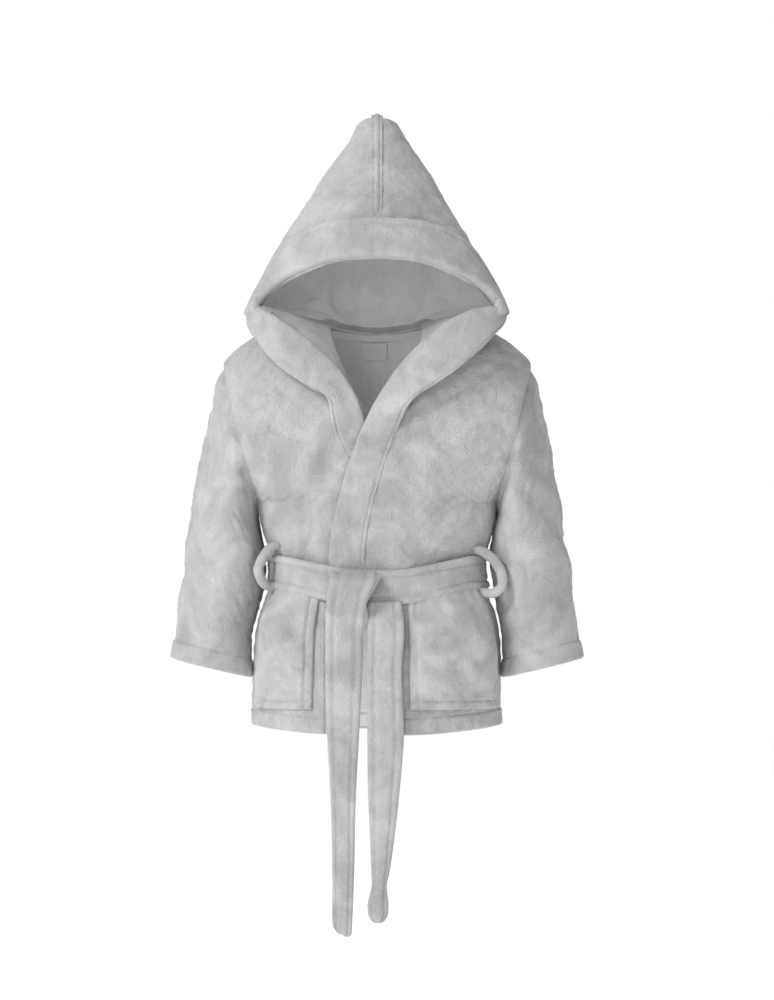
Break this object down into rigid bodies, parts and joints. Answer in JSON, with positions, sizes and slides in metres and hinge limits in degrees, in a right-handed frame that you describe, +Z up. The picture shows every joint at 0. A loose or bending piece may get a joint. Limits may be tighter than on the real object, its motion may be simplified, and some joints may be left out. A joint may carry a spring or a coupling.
{
  "type": "bathrobe",
  "caption": "Small child's hooded fleece wrap bathrobe with lapels, patch pockets, belt loops and a tied belt whose ends hang free.",
  "frame": {"origin": "inside middle of the back neck seam's height, above the centre of the shoulders", "axes": "+X to the wearer's left, -Y forward out of the front, +Z up towards the hood's peak"},
  "size_m": [0.428, 0.2082, 0.8619],
  "materials": {
    "fleece": "long soft pile",
    "tape": "woven",
    "label": "woven satin"
  },
  "bodies": {
    "robe": {"back_panel": "fleece", "front_left": "fleece", "front_right": "fleece", "front_band_left": "fleece", "front_band_right": "fleece", "lapel_facing_left": "fleece", "lapel_facing_right": "fleece", "pocket_left": "fleece", "pocket_right": "fleece", "belt_loop_left": "fleece", "belt_loop_right": "fleece", "neck_tape": "tape", "neck_label": "label", "belt_wrap": "fleece", "belt_knot": "fleece"},
    "hood": {"hood_left": "fleece", "hood_right": "fleece", "hood_brim": "fleece", "hood_ridge_strip": "fleece"},
    "sleeve_left": {"sleeve_left": "fleece"},
    "sleeve_right": {"sleeve_right": "fleece"},
    "long_tail": {"long_tail_upper": "fleece"},
    "long_tail_end": {"long_tail_lower": "fleece"},
    "short_tail": {"short_tail_upper": "fleece"},
    "short_tail_end": {"short_tail_lower": "fleece"}
  },
  "joints": [
    {"name": "hood_fold_back", "type": "hinge", "parent": "robe", "child": "hood", "pos_m": [0, 0.062, 0], "axis": [-1, 0, 0], "range_deg": [0, 65]},
    {"name": "sleeve_left_lift", "type": "hinge", "parent": "robe", "child": "sleeve_left", "pos_m": [0.1654, 0, -0.0359], "axis": [0, -1, 0], "range_deg": [0, 50]},
    {"name": "sleeve_right_lift", "type": "hinge", "parent": "robe", "child": "sleeve_right", "pos_m": [-0.1654, 0, -0.0359], "axis": [0, 1, 0], "range_deg": [0, 50]},
    {"name": "long_tail_swing", "type": "hinge", "parent": "robe", "child": "long_tail", "pos_m": [-0.0335, -0.0945, -0.2995], "axis": [-1, 0, 0], "range_deg": [0, 75]},
    {"name": "long_tail_bend", "type": "hinge", "parent": "long_tail", "child": "long_tail_end", "pos_m": [-0.0335, -0.0945, -0.434], "axis": [-1, 0, 0], "range_deg": [-50, 50]},
    {"name": "short_tail_swing", "type": "hinge", "parent": "robe", "child": "short_tail", "pos_m": [0.011, -0.0945, -0.301], "axis": [-1, 0, 0], "range_deg": [0, 75]},
    {"name": "short_tail_bend", "type": "hinge", "parent": "short_tail", "child": "short_tail_end", "pos_m": [0.011, -0.0945, -0.434], "axis": [-1, 0, 0], "range_deg": [-50, 50]}
  ]
}
